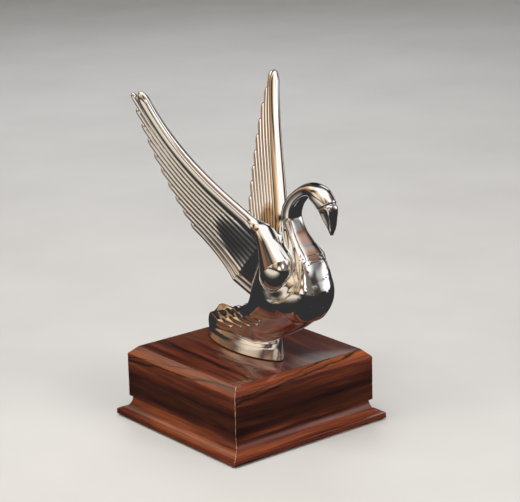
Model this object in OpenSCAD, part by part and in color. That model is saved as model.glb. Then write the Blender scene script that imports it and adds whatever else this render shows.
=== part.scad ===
// Chrome swan hood ornament on a square display plinth.
// The origin is the middle of the plinth's underside, +Z is up and the swan faces -Y.

/* [Plinth] */
// Width of the plinth block across its flat faces
block_w = 102; // [85:1:124]
// Height of the plinth, from the felt's underside to its polished top
plinth_h = 43.5; // [36:0.5:54]
// Width of the bevel round the top edge
bevel_w = 4.8; // [3:0.1:6]
// Height of the bevel round the top edge
bevel_h = 4.6; // [3:0.1:6]
// How far the cove starts behind the flat face
quirk = 1.6; // [0.8:0.1:2.5]
// How far the skirt stands out past the flat face
skirt_out = 5.6; // [4:0.1:8]
// Height of the cove
cove_h = 8.4; // [6:0.1:11]
// Height of the upright lip under the cove
lip_h = 3; // [2:0.1:5]
// Thickness of the mouldings behind the flat face
moulding_t = 12; // [9:0.5:15]
// Thickness of the top board
board_t = 8; // [6:0.5:10]
// Thickness of the bottom panel
panel_t = 3; // [2:0.5:4]
// Leg of the triangular glue blocks in the corners
block_leg = 20; // [16:0.5:24]
// Thickness of the felt under the plinth
felt_t = 1; // [0.6:0.1:2]
// How far the felt stays inside the lip
felt_inset = 2; // [1:0.5:5]

/* [Swan] */
// Height of the wing tips above the underside of the foot
swan_h = 152; // [127:1:183]
// Turn of the swan on the plinth, counter-clockwise from above
swan_turn = -3; // [-10:1:10]
// Length of the boat-shaped foot
foot_l = 72; // [62:1:84]
// Width of the boat-shaped foot
foot_w = 24; // [21:0.5:29]
// Distance from the plinth's middle back to the middle of the foot
foot_back = 3.5; // [0:0.5:8]
// Height of the foot's upright band
band_h = 6.5; // [5:0.5:8]
// Thickness of the casting round the hollow foot
cast_wall = 3; // [2:0.25:4]

/* [Wings] */
// Feathers below the leading edge of each wing
feather_n = 10; // [8:1:13]
// Width of one feather
feather_w = 3.35; // [2.8:0.1:3.9]
// Thickness of one feather
feather_t = 3.4; // [2.6:0.1:4]
// Width of the rolled leading edge at the shoulder
roll_root = 10.5; // [8:0.5:12]
// Width of the rolled leading edge at the wing tip
roll_tip = 7.6; // [5:0.1:8]

/* [Fasteners] */
// Diameter of the mounting studs
stud_d = 5; // [4:0.5:6]
// Distance between the mounting studs
stud_gap = 34; // [28:1:40]
// Thickness of the rubber gasket under the foot
gasket_t = 0.8; // [0.5:0.1:1.5]
// Diameter of the flat washers
washer_d = 12; // [10:0.5:15]
// Thickness of the flat washers
washer_t = 1; // [0.6:0.1:1.5]
// Thickness of the split lock washers
lock_t = 1.3; // [0.8:0.1:1.8]
// Width of the hex nuts across their flats
nut_w = 8; // [7:0.5:11]
// Height of the hex nuts
nut_h = 4; // [3:0.5:6]
// Diameter of the dowels that hold the wings
dowel_d = 2.5; // [2:0.25:3]
// Length of the dowels
dowel_l = 9; // [7:0.5:11]
// Diameter of the wood screws
screw_d = 3; // [2.5:0.25:4]
// Length of the wood screws
screw_l = 14; // [10:1:20]

/* [Hidden] */
$fn = 48;

// The casting's free-form tables are drawn for this height and grow with swan_h
drawn_h = 152;
cast_k = swan_h / drawn_h;

// Points round a section of the casting, and squareness of that section
ring_n = 20;
section_power = 2.3;
// Sharpness of the foot's two ends: 1 is an ellipse, 2 is a pointed boat
boat_power = 1.3;

// Breast and back, from the foot up: [middle y, height, half-depth, half-width]
torso_table = [[-6, 4, 20, 7], [-8, 12, 21, 8.5], [-15.5, 17.5, 24.5, 10.5],
               [-23.5, 23, 26.5, 12.5], [-33.5, 30, 26, 15], [-39.5, 37, 27, 16.5],
               [-42.5, 45, 27.5, 17], [-43, 53, 25, 16], [-40, 60, 18, 14],
               [-37, 67, 11, 10], [-35, 73, 6.5, 6], [-34, 76, 3, 3]];
// Neck, head and bill, from inside the breast to the tip of the bill
neck_table = [[-50, 40, 16, 13], [-54.5, 48, 16.5, 14], [-55.5, 56, 14, 12.5],
              [-54.3, 63.5, 11.3, 9.8], [-50.2, 70.5, 8.8, 7.8], [-46.2, 78, 6.6, 6.3],
              [-43.5, 86, 5.2, 5.4], [-43.9, 91.5, 4.8, 5.2], [-47.1, 97, 4.1, 5],
              [-51.3, 101, 3.6, 4.8], [-56, 104.3, 3.4, 4.7], [-60.5, 106.3, 3.6, 4.7],
              [-64.8, 106.8, 4.1, 5], [-69.2, 105.6, 5.3, 5.4], [-73.6, 103.4, 6, 5.2],
              [-77, 99.4, 5.6, 4.3], [-78.6, 94.4, 4.2, 3.2], [-80.1, 89.4, 2.4, 2.1],
              [-80, 84.5, 0.8, 0.9]];
// Tail, from inside the breast back to the stern: [y, middle height, half-height, half-width]
tail_table = [[-16, 17, 12, 8], [-3, 16, 10, 9.5], [10, 13.5, 7.3, 10],
              [21, 11, 6, 8.3], [30, 9, 5.4, 6], [36, 7.6, 4.8, 3.6], [39, 7, 4.2, 1.2]];
// Tail feathers, stepped down to the stern: [height, front y, front x, rear y, rear x]
tail_feather_table = [[26, -31, 13.8, -4, 5], [22.4, -26.5, 12.6, 7, 4], [19, -17, 11.4, 15.5, 3.8],
                      [15.8, -7, 10.4, 23, 3.8], [13.2, 3, 10.2, 30, 3.6]];
tail_feather_r = 1.75;
// Length of a tail feather's round end against its radius
tail_feather_stretch = 1.8;
// How far a tail feather's middle stands out past the line between its ends, and its rear end drops
tail_bulge = 1.8;
tail_drop = 0.5;
// Foot: [height above the band, how far the outline draws in]
foot_table = [[0, 1.2], [3, 2.4], [5.5, 4.8], [8, 6.5]];

// Leading edge of the left wing as four control points, and two directions across the wing
lead_points = [[6, -31, 77], [22, -8, 99], [36, 16.5, 117.5], [46.5, 30, 154.5]] * cast_k;
chord_root = [-0.21, 0.3, -0.82];
chord_tip = [0.075, 0.155, 0.15];
// Share of the wing's length where the first feather ends, and the step to each next one
first_end = 0.975;
end_step = 0.07;
// The wing's inner end bows out to meet the breast over this share of its length
bow_span = 0.33;
bow_out = 7 * cast_k;
// Feathers start this share of the wing's length inside the breast
wing_start = -0.12;
wing_chord = roll_root + feather_n * feather_w;
// Half-width of a feather against its spacing, so that neighbours run into each other
feather_overlap = 0.56;
// Share of the wing's length in one straight stretch of a feather
feather_stretch = 0.16;
// Thickness of the rolled edge against its width, and where its end starts to round off
roll_flat = 0.72;
roll_round = 0.94;
// Shoulder feathers: middle and half-width across the wing, half-thickness, share of the wing's length
covert_mid = 22 * cast_k;
covert_half = 18 * cast_k;
covert_t = 3.4 * cast_k;
covert_span = 0.42;
// Shoulder where the wing leaves the breast: middle, half-sizes, and the round end in the rolled edge
shoulder_at = [11, -44, 59.5] * cast_k;
shoulder_size = [8.5, 12.8, 14] * cast_k;
shoulder_end_r = 4 * cast_k;
shoulder_end_t = 0.03;

// Dowels between each wing root and the breast: [share of the wing's length, distance behind its edge]
dowel_places = [[0, roll_root / 2], [-0.05, 20 * cast_k]];

foot_top = band_h + foot_table[3][0];
board_z = plinth_h - board_t;
swan_z = plinth_h + gasket_t;
half_w = block_w / 2;
skirt_half = half_w + skirt_out;
cavity_half = half_w - moulding_t;
// Steps in the curve of the cove
cove_steps = 10;
// Clearance of the studs in the board and the gasket
stud_play = 0.5;
// Depth of the tapped holes in the foot
tap_depth = 11;
boss_wall = 2.5;
boss_r = stud_d / 2 + boss_wall;
// Height of the hollow's sloping roof, which draws in as much as it rises
hollow_rise = 4;
// Thread left showing past each nut
stud_past = 2;
stud_l = tap_depth + gasket_t + board_t + washer_t + lock_t + nut_h + stud_past;
// Slit in each lock washer
lock_slit = 0.8;
panel_z = felt_t;
block_z = panel_z + panel_t;
// How far the panel screws stand in from the cavity's corners: inside the glue blocks
screw_in = 0.3 * block_leg;
// Extra reach of a cut past the face it goes through
cut_past = 1;

// Value between a and b
function mix(a, b, t) = a + (b - a) * t;

function unit(v) = v / norm(v);

// Smooth curve through every row of a table, t counts rows
function spline(table, t) =
  let (i = min(floor(t), len(table) - 2), f = t - i,
       p0 = table[max(i - 1, 0)], p1 = table[i], p2 = table[i + 1],
       p3 = table[min(i + 2, len(table) - 1)])
  (2 * p1 + (p2 - p0) * f + (2 * p0 - 5 * p1 + 4 * p2 - p3) * f * f
   + (3 * p1 - p0 - 3 * p2 + p3) * f * f * f) / 2;

// Squared-off cosine or sine
function bow(v) = sign(v) * pow(abs(v), 2 / section_power);

// Ring round the row [y, z, half-depth, half-width], tipped forward by tilt
function ring(row, tilt) =
  [for (i = [0 : ring_n - 1])
    let (q = 360 * i / ring_n, d = row[2] * bow(sin(q)))
    [row[3] * bow(cos(q)), row[0] + d * cos(tilt), row[1] + d * sin(tilt)]];

// Forward tip of the curve through a table, from the points just before and after t
function tilt_at(table, t) =
  let (a = spline(table, max(t - 0.1, 0)), b = spline(table, min(t + 0.1, len(table) - 1)))
  atan2(a[0] - b[0], b[1] - a[1]);

// Outline with two blunt points, like a boat seen from above
function boat(l, w, y_mid, z) =
  [for (i = [0 : ring_n - 1])
    let (q = 360 * i / ring_n)
    [w / 2 * sign(cos(q)) * pow(abs(cos(q)), boat_power), l / 2 * sin(q) + y_mid, z]];

// The wing's leading edge, its direction and the direction across the wing at share t
function lead(t) =
  let (p = lead_points)
  t < 0 ? p[0] + 3 * t * (p[1] - p[0])
  : pow(1 - t, 3) * p[0] + 3 * pow(1 - t, 2) * t * p[1] + 3 * (1 - t) * t * t * p[2] + pow(t, 3) * p[3];

function along(t) = unit(lead(t + 0.01) - lead(t - 0.01));

function across(t) =
  let (c = mix(chord_root, chord_tip, max(t, 0)), g = along(t))
  unit(c - (c * g) * g);

function outward(t) = cross(across(t), along(t));

function roll_w(t) = mix(roll_root, roll_tip, max(t, 0));

// Point on the wing, v behind the leading edge and n out from its middle surface
function wing_point(t, v, n) =
  let (b = bow_out * pow(v / wing_chord, 2) * pow(min(max(1 - t / bow_span, 0), 1), 2))
  lead(t) + v * across(t) + (n + b) * outward(t);

function feather_v(k, t) = roll_w(t) + (k + 0.5) * feather_w;

function feather_end(k) = first_end - k * end_step;

// Closed solid through a list of rings
module loft(rings) {
  n = len(rings[0]);
  last = len(rings) - 1;
  walls = [for (j = [0 : last - 1], i = [0 : n - 1])
    let (a = j * n + i, b = j * n + (i + 1) % n)
    each [[a, a + n, b], [b, a + n, b + n]]];
  first_cap = [for (i = [0 : n - 1]) i];
  last_cap = [for (i = [0 : n - 1]) last * n + n - 1 - i];
  polyhedron([for (r = rings) each r], concat([first_cap], walls, [last_cap]));
}

module torso_form() {
  loft([for (t = [0 : 0.75 : len(torso_table) - 1]) ring(spline(torso_table, t) * cast_k, 0)]);
}

module neck_form() {
  loft([for (t = [0 : 0.6 : len(neck_table) - 1])
    ring(spline(neck_table, t) * cast_k, tilt_at(neck_table, t))]);
}

module tail_form() {
  loft([for (t = [0 : 0.5 : len(tail_table) - 1]) ring(spline(tail_table, t) * cast_k, -90)]);
}

// Long tail feather, bulging round the tail between its front and rear ends
module tail_feather(side, row) {
  front = [side * row[2], row[1], row[0]] * cast_k;
  rear = [side * row[4], row[3], row[0] - tail_drop] * cast_k;
  middle = (front + rear) / 2 + [side * tail_bulge, 0, 0] * cast_k;
  for (ends = [[front, middle], [middle, rear]])
    hull()
      for (p = ends)
        translate(p) scale([1, tail_feather_stretch, 1] * cast_k)
          sphere(r = tail_feather_r, $fn = 10);
}

module tail_feathers() {
  for (side = [-1, 1], row = tail_feather_table) tail_feather(side, row);
}

module foot_form() {
  rings = concat([boat(foot_l, foot_w, foot_back, 0)],
    [for (row = foot_table)
      boat(foot_l - row[1], foot_w - 2 * row[1], foot_back - row[1] / 2, band_h + row[0])]);
  loft(rings);
}

// Every place where a mounting stud stands
module at_studs() {
  for (side = [-1, 1])
    translate([0, foot_back + side * stud_gap / 2, 0]) children();
}

module casting_form() {
  torso_form();
  neck_form();
  tail_form();
  tail_feathers();
  foot_form();
}

// Hollow under the foot, with its stud bosses left standing
module foot_hollow() {
  l = foot_l - 4 * cast_wall;
  w = foot_w - 2 * cast_wall;
  difference() {
    loft([boat(l, w, foot_back, -cut_past), boat(l, w, foot_back, band_h),
          boat(l - 2 * hollow_rise, w - 2 * hollow_rise, foot_back, band_h + hollow_rise)]);
    at_studs() cylinder(r = boss_r, h = foot_top);
  }
}

// Dowels of the left wing, in line with its leading edge
module wing_dowel_pair() {
  for (place = dowel_places) {
    g = along(place[0]);
    translate(wing_point(place[0], place[1], 0))
      rotate([0, acos(g[2]), atan2(g[1], g[0])])
        cylinder(d = dowel_d, h = dowel_l, center = true, $fn = 24);
  }
}

module dowels() {
  wing_dowel_pair();
  mirror([1, 0, 0]) wing_dowel_pair();
}

module place_swan() {
  translate([0, 0, swan_z]) rotate([0, 0, swan_turn]) children();
}

module swan_body() {
  color("gainsboro") place_swan()
    difference() {
      casting_form();
      foot_hollow();
      dowels();
      at_studs() translate([0, 0, -cut_past]) cylinder(d = stud_d, h = tap_depth + cut_past);
    }
}

// Bead of a feather: the hull of two makes one stretch of it
module bead(k, t) {
  g = along(t);
  a = across(t);
  o = outward(t);
  p = wing_point(t, feather_v(k, t), 0);
  multmatrix([[a[0], o[0], g[0], p[0]], [a[1], o[1], g[1], p[1]], [a[2], o[2], g[2], p[2]]])
    scale([feather_w * feather_overlap, feather_t / 2, feather_w]) sphere(r = 1, $fn = 8);
}

module feather(k) {
  span = feather_end(k) - wing_start;
  parts = max(2, round(span / feather_stretch));
  for (i = [0 : parts - 1])
    hull() {
      bead(k, wing_start + span * i / parts);
      bead(k, wing_start + span * (i + 1) / parts);
    }
}

// Rolled leading edge, closed to a round end at the tip
module leading_roll() {
  loft([for (t = [wing_start, -0.04, 0.04, 0.12, 0.2, 0.3, 0.4, 0.5, 0.6, 0.7, 0.8, 0.88, 0.94, 0.98, 1])
    let (past = max(t - roll_round, 0) / (1 - roll_round),
         w = roll_w(t) / 2 * sqrt(1 - 0.9 * past * past))
    [for (i = [0 : 11])
      wing_point(t, roll_w(t) / 2 + w * cos(30 * i), -roll_flat * w * sin(30 * i))]]);
}

// Smooth shoulder feathers over the inner end of the wing
module covert() {
  loft([for (t = [wing_start, -0.04, 0.05, 0.14, 0.22, 0.28])
    let (s = sqrt(1 - pow((t - wing_start) / covert_span, 2)))
    [for (i = [0 : 15])
      wing_point(t, covert_mid + covert_half * s * cos(22.5 * i), -covert_t * s * sin(22.5 * i))]]);
}

// Rounded shoulder where the wing leaves the breast
module shoulder() {
  hull() {
    translate(shoulder_at) scale(shoulder_size) sphere(r = 1, $fn = 24);
    translate(wing_point(shoulder_end_t, roll_root / 2, 0)) sphere(r = shoulder_end_r, $fn = 12);
  }
}

module wing() {
  difference() {
    union() {
      leading_roll();
      covert();
      shoulder();
      for (k = [0 : feather_n - 1]) feather(k);
    }
    torso_form();
    neck_form();
    tail_form();
    dowels();
  }
}

module left_wing() {
  color("gainsboro") place_swan() wing();
}

module right_wing() {
  color("gainsboro") place_swan() mirror([1, 0, 0]) wing();
}

module wing_dowels() {
  color("silver") place_swan() dowels();
}

module foot_gasket() {
  color("#1a1a1a") translate([0, 0, plinth_h]) rotate([0, 0, swan_turn])
    linear_extrude(gasket_t) difference() {
      polygon([for (p = boat(foot_l, foot_w, foot_back, 0)) [p[0], p[1]]]);
      at_studs() circle(d = stud_d + stud_play);
    }
}

module mounting_studs() {
  color("silver") place_swan() at_studs()
    translate([0, 0, tap_depth - stud_l]) cylinder(d = stud_d, h = stud_l);
}

// A round washer hanging under the board at the given depth
module washer(depth, t, d) {
  translate([0, 0, board_z - depth - t]) rotate([0, 0, swan_turn]) at_studs()
    difference() {
      cylinder(d = d, h = t);
      translate([0, 0, -cut_past]) cylinder(d = stud_d + stud_play, h = t + 2 * cut_past);
    }
}

module stud_washers() {
  color("silver") washer(0, washer_t, washer_d);
}

module lock_washers() {
  color("gray") difference() {
    washer(washer_t, lock_t, nut_w);
    translate([0, 0, board_z - washer_t - lock_t - cut_past]) rotate([0, 0, swan_turn]) at_studs()
      translate([0, -lock_slit / 2, 0]) cube([nut_w, lock_slit, lock_t + 2 * cut_past]);
  }
}

module stud_nuts() {
  color("silver") translate([0, 0, board_z - washer_t - lock_t - nut_h])
    rotate([0, 0, swan_turn]) at_studs()
      difference() {
        cylinder(d = nut_w / cos(30), h = nut_h, $fn = 6);
        translate([0, 0, -cut_past]) cylinder(d = stud_d, h = nut_h + 2 * cut_past);
      }
}

module top_board() {
  w = block_w - 2 * bevel_w;
  color("#7a3d28") difference() {
    translate([-w / 2, -w / 2, board_z]) cube([w, w, board_t]);
    translate([0, 0, board_z - cut_past]) rotate([0, 0, swan_turn]) at_studs()
      cylinder(d = stud_d + stud_play, h = board_t + 2 * cut_past);
  }
}

// Section of a side moulding: across from the plinth's middle, and height
module moulding_section() {
  cove_base = felt_t + lip_h;
  cove = [for (i = [0 : cove_steps])
    let (q = 90 * i / cove_steps)
    [skirt_half - (skirt_out + quirk) * cos(q), cove_base + cove_h * (1 - sin(q))]];
  polygon(concat(
    [[half_w - bevel_w, plinth_h], [half_w, plinth_h - bevel_h], [half_w, cove_base + cove_h]],
    cove,
    [[skirt_half, felt_t], [cavity_half, felt_t], [cavity_half, board_z],
     [half_w - bevel_w, board_z]]));
}

// Moulding on the -Y side, with both ends cut to a mitre
module moulding() {
  past = skirt_half + cut_past;
  intersection() {
    translate([-skirt_half, 0, 0]) rotate([90, 0, 90])
      mirror([1, 0, 0]) linear_extrude(2 * skirt_half) moulding_section();
    linear_extrude(plinth_h) polygon([[0, 0], [-past, -past], [past, -past]]);
  }
}

module front_moulding() {
  color("#8a4a2c") moulding();
}

module back_moulding() {
  color("#8a4a2c") rotate([0, 0, 180]) moulding();
}

module right_moulding() {
  color("#8a4a2c") rotate([0, 0, -90]) moulding();
}

module left_moulding() {
  color("#8a4a2c") rotate([0, 0, 90]) moulding();
}

// Every corner of the cavity, with its own corner towards -X and -Y
module at_corners() {
  for (q = [0 : 90 : 270])
    rotate([0, 0, q]) translate([-cavity_half, -cavity_half, 0]) children();
}

module corner_blocks() {
  color("burlywood") difference() {
    at_corners() translate([0, 0, block_z]) linear_extrude(board_z - block_z)
      polygon([[0, 0], [block_leg, 0], [0, block_leg]]);
    at_corners() translate([screw_in, screw_in, block_z - cut_past])
      cylinder(d = screw_d, h = screw_l - panel_t + cut_past);
  }
}

// Countersunk wood screw, head down, its head's face at z = 0
module screw() {
  cylinder(d1 = 2 * screw_d, d2 = screw_d, h = screw_d / 2);
  cylinder(d = screw_d, h = screw_l);
}

module panel_screws() {
  color("silver") at_corners() translate([screw_in, screw_in, panel_z]) screw();
}

module bottom_panel() {
  color("tan") difference() {
    translate([-cavity_half, -cavity_half, panel_z])
      cube([2 * cavity_half, 2 * cavity_half, panel_t]);
    at_corners() translate([screw_in, screw_in, panel_z]) {
      screw();
      translate([0, 0, -cut_past]) cylinder(d = 2 * screw_d, h = cut_past);
    }
  }
}

module felt_pad() {
  w = 2 * (skirt_half - felt_inset);
  color("#20301f") translate([-w / 2, -w / 2, 0]) cube([w, w, felt_t]);
}

swan_body();
right_wing();
left_wing();
wing_dowels();
foot_gasket();
mounting_studs();
stud_washers();
lock_washers();
stud_nuts();
top_board();
front_moulding();
back_moulding();
right_moulding();
left_moulding();
corner_blocks();
bottom_panel();
panel_screws();
felt_pad();
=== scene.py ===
"""Visible pieces of a chrome swan hood ornament on its display plinth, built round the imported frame."""

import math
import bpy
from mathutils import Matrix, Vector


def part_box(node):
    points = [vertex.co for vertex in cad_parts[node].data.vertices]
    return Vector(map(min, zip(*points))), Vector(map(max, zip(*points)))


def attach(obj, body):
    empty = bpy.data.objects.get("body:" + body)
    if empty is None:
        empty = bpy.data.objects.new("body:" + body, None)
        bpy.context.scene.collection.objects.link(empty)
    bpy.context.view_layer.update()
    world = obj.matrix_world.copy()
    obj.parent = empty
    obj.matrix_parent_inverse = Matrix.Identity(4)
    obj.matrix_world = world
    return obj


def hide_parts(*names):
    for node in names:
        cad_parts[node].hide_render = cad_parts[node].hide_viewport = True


bl_info = {
    "name": "Swan Hood Ornament",
    "version": (1, 0, 0),
    "blender": (4, 5, 0),
    "location": "3D View > Sidebar > Ornament",
    "description": "Builds the chrome swan, its rosewood-look plinth and the studio round them",
    "category": "Object",
}

import bpy
import numpy as np
from bpy.props import FloatProperty, FloatVectorProperty, IntProperty, PointerProperty
from mathutils import Matrix, Vector

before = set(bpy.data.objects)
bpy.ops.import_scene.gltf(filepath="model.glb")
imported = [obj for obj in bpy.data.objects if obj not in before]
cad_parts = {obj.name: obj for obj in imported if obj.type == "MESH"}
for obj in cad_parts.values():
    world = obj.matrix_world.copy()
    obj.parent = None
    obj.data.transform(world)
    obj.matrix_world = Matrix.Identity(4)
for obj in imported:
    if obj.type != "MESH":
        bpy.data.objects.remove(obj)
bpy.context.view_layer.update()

MM = 0.001
# Samples between two rows of a size table
ROW_STEPS = 24
GRAIN = "grain"

# ---------------------------------------------------------------- sizes of the casting, in millimetres

# The swan stands three degrees askew on its plinth
TURN = np.array(Matrix.Rotation(math.radians(-3), 3, "Z"))
SECTION_POWER = 2.3
BOAT_POWER = 1.3
FOOT_LENGTH, FOOT_WIDTH, FOOT_BACK = 72, 24, 3.5
# Foot: heights, and how far its outline draws in at each
FOOT_HEIGHTS = [0, 6, 7, 9.5, 12, 14.5, 20]
FOOT_INSETS = [0, 1.2, 1.6, 2.8, 4.8, 6.5, 11.5]
# Breast and back, from the foot up: middle y, height, half-depth, half-width
TORSO = [
    [-6, 4, 20, 7], [-8, 12, 21, 8.5], [-15.5, 17.5, 24.5, 10.5], [-23.5, 23, 26.5, 12.5],
    [-33.5, 30, 26, 15], [-39.5, 37, 27, 16.5], [-42.5, 45, 27.5, 17], [-43, 53, 25, 16],
    [-40, 60, 18, 14], [-37, 67, 11, 10], [-35, 73, 6.5, 6], [-34, 76, 3, 3],
]  # fmt: skip
# Neck, head and bill: y, z, half-depth, half-width, squareness of the front, squareness of the back
NECK = [
    [-50, 40, 16, 13, 2.4, 2.3], [-54.5, 48, 16.5, 14, 2.6, 2.3], [-55.5, 56, 14, 12.5, 3.2, 2.3],
    [-54.3, 63.5, 11.3, 9.8, 4.2, 2.3], [-50.2, 70.5, 8.8, 7.8, 5, 2.3], [-46.2, 78, 6.6, 6.3, 5, 2.3],
    [-43.5, 86, 5.2, 5.4, 5, 2.2], [-43.9, 91.5, 4.8, 5.2, 5, 2.2], [-47.1, 97, 4.1, 5, 5, 2.2],
    [-51.3, 101, 3.6, 4.8, 5, 2.2], [-56, 104.3, 3.4, 4.7, 5, 2.2], [-60.5, 106.3, 3.6, 4.7, 4.5, 2.2],
    [-64.8, 106.8, 4.1, 5, 3.5, 2.2], [-69.2, 105.6, 5.3, 5.4, 2.8, 2.2], [-73.6, 103.4, 6, 5.2, 2.8, 2.2],
    [-77, 99.4, 5.6, 4.3, 4, 3], [-78.6, 94.4, 4.2, 3.2, 5, 5], [-80.1, 89.4, 2.4, 2.1, 5, 5],
    [-80, 84.5, 0.8, 0.9, 3, 3],
]  # fmt: skip
# Place of the groove at the bill's root along the neck's rows, its depth as a share, and the bill's hollow sides
BILL_ROW, BILL_GROOVE, BILL_GROOVE_LENGTH, BILL_HOLLOW = 14.95, 0.09, 0.09, 0.16
# Tail: y, middle height, half-height, half-width
TAIL = [
    [-16, 17, 12, 8], [-3, 16, 10, 9.5], [10, 13.5, 7.3, 10], [21, 11, 6, 8.3],
    [30, 9, 5.4, 6], [36, 7.6, 4.8, 3.6], [39, 7, 4.2, 1.2],
]  # fmt: skip
# Tail feathers: height, front y, front x, rear y, rear x
TAIL_FEATHERS = [
    [26, -31, 13.8, -4, 5], [22.4, -26.5, 12.6, 7, 4], [19, -17, 11.4, 15.5, 3.8],
    [15.8, -7, 10.4, 23, 3.8], [13.2, 3, 10.2, 30, 3.6],
]  # fmt: skip
TAIL_FEATHER_FRONT, TAIL_FEATHER_RADIUS = 0.6, 1.75
TAIL_BULGE, TAIL_DROP = 1.8, 0.5
# Leading edge of the left wing, and the directions across the wing at its root and tip
LEAD = np.array([[6, -31, 77], [22, -8, 99], [36, 16.5, 117.5], [46.5, 30, 154.5]], float)
CHORD_ROOT = np.array([-0.21, 0.3, -0.82])
CHORD_TIP = np.array([0.075, 0.155, 0.15])
LEAD_LENGTH = 105
WING_START = -0.12
BOW_SPAN, BOW_OUT = 0.33, 7
# Share of the wing's length where the first feather ends and the step to each next one, and where the roll ends
FEATHER_END, FEATHER_STEP, FEATHER_OVERLAP = 0.975, 0.07, 0.54
ROLL_END, ROLL_FLAT, ROLL_ROUND = 0.94, 0.72, 6.3
# Smooth coverts: how far their middle lies behind the leading edge, and half-sizes along, across and out
COVERT_MIDDLE, COVERT_HALF = 21, (46, 17.5, 2.5)
SHOULDER_MIDDLE = (11, -44, 59.5)
SHOULDER_RADII = (8.5, 12.8, 14)
SHOULDER_TOP, SHOULDER_TOP_RADIUS = (9.5, -31, 77), 4.5
# Crease that runs down the neck's side, round the breast and back under the shoulder: y, z
CREASE = np.array([
    [-45.5, 88], [-47.3, 84.3], [-50, 80], [-56.6, 69.5], [-61.3, 63.1], [-64.6, 57.5],
    [-64.6, 53.6], [-62.1, 50.1], [-57.1, 45.5], [-52, 42.7], [-46, 41.5], [-40, 42],
])
CREASE_DEPTH = 0.9
GROOVE_GAP, GROOVE_DEPTH, GROOVE_LIP = 0.7, 1.6, 0.8

# ---------------------------------------------------------------- settings a user would change


def length(name, description, size):
    """A length setting whose default is given in millimetres."""
    return FloatProperty(name=name, description=description, default=size * MM, unit="LENGTH")


class SwanSettings(bpy.types.PropertyGroup):
    feather_count: IntProperty(
        name="Feathers", description="Feathers below each wing's leading edge", default=10, min=6, max=13
    )
    feather_width: length("Feather width", "Width of one feather", 3.35)
    feather_thickness: length("Feather thickness", "Thickness of one feather", 3.4)
    roll_root: length("Roll at the shoulder", "Width of the rolled edge at the shoulder", 10.5)
    roll_tip: length("Roll at the tip", "Width of the rolled edge at the tip", 7.6)
    body_pitch: length("Body mesh size", "Size of the body's mesh faces", 0.65)
    wing_pitch: length("Wing mesh size", "Size of the wings' mesh faces across a feather", 0.36)


class PlinthSettings(bpy.types.PropertyGroup):
    bevel_height: length("Bevel height", "Height of the bevel round the top edge", 4.6)
    quirk: length("Quirk", "How far the cove starts behind the flat face", 1.6)
    skirt_out: length("Skirt", "How far the skirt stands out past the flat face", 5.6)
    cove_height: length("Cove height", "Height of the cove", 8.4)
    lip_height: length("Lip height", "Height of the upright lip under the cove", 3)
    edge_round: length("Edge rounding", "Radius of the foil's folds over the edges", 0.3)


# ---------------------------------------------------------------- small tools


def linear(code, alpha=1.0):
    """Linear colour of an sRGB hex value."""
    channels = [int(code[i : i + 2], 16) / 255 for i in (1, 3, 5)]
    return (*[c / 12.92 if c <= 0.04045 else ((c + 0.055) / 1.055) ** 2.4 for c in channels], alpha)


def ease(low, high, x):
    t = np.clip((np.asarray(x, float) - low) / (high - low), 0, 1)
    return t * t * (3 - 2 * t)


def smooth_rows(table, steps=ROW_STEPS):
    """Samples of the smooth curve through every row of a table."""
    rows = np.asarray(table, float)
    last = len(rows) - 1
    t = np.linspace(0, last, last * steps + 1)
    i = np.minimum(t.astype(int), last - 1)
    f = (t - i)[:, None]
    p0, p1, p2, p3 = rows[np.maximum(i - 1, 0)], rows[i], rows[i + 1], rows[np.minimum(i + 2, last)]
    square, cube = 2 * p0 - 5 * p1 + 4 * p2 - p3, 3 * p1 - p0 - 3 * p2 + p3
    return (2 * p1 + (p2 - p0) * f + square * f**2 + cube * f**3) / 2


def blended(a, b, width):
    """Smallest of two distances, with the corner between them filled to that width."""
    h = np.maximum(width - np.abs(a - b), 0) / width
    return np.minimum(a, b) - h * h * width / 4


def outline_distance(a, b, half_a, half_b, power):
    """Signed distance from a squared-off oval, measured along the line to its middle."""
    reach = np.sqrt(a * a + b * b) + 1e-6
    rho = ((np.abs(a) / half_a) ** power + (np.abs(b) / half_b) ** power) ** (1 / power) + 1e-6
    return reach * (1 - 1 / rho)


def past_end(distance, over):
    """The distance of a point that lies over past the end of a form."""
    return np.where(over > 0, np.hypot(np.maximum(distance, 0), over), distance)


# ---------------------------------------------------------------- forms of the casting as distance fields

TORSO_ROWS = smooth_rows(TORSO)
NECK_ROWS = smooth_rows(NECK)
TAIL_ROWS = smooth_rows(TAIL)


def torso_distance(x, y, z):
    low, high = TORSO[0][1], TORSO[-1][1]
    row = [np.interp(z, TORSO_ROWS[:, 1], TORSO_ROWS[:, c]) for c in (0, 2, 3)]
    d = outline_distance(x, y - row[0], row[2], row[1], SECTION_POWER)
    return past_end(d, np.maximum(z - high, low - z))


def tail_distance(x, y, z):
    row = [np.interp(y, TAIL_ROWS[:, 0], TAIL_ROWS[:, c]) for c in (1, 2, 3)]
    d = outline_distance(x, z - row[0], row[2], row[1], SECTION_POWER)
    return past_end(d, np.maximum(y - TAIL[-1][0], TAIL[0][0] - y))


def foot_distance(x, y, z):
    """The foot: an upright band shaped like a boat, and a slope above it that draws in to the body."""
    inset = np.interp(z, FOOT_HEIGHTS, FOOT_INSETS)
    half_w, half_l = FOOT_WIDTH / 2 - inset, (FOOT_LENGTH - inset) / 2
    dy = y - (FOOT_BACK - inset / 2)
    rho = np.sqrt((np.abs(x) / half_w) ** (2 / BOAT_POWER) + (dy / half_l) ** 2) + 1e-6
    reach = np.hypot(x, dy) + 1e-6
    return past_end(reach * (1 - 1 / rho), z - FOOT_HEIGHTS[-1])


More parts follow.
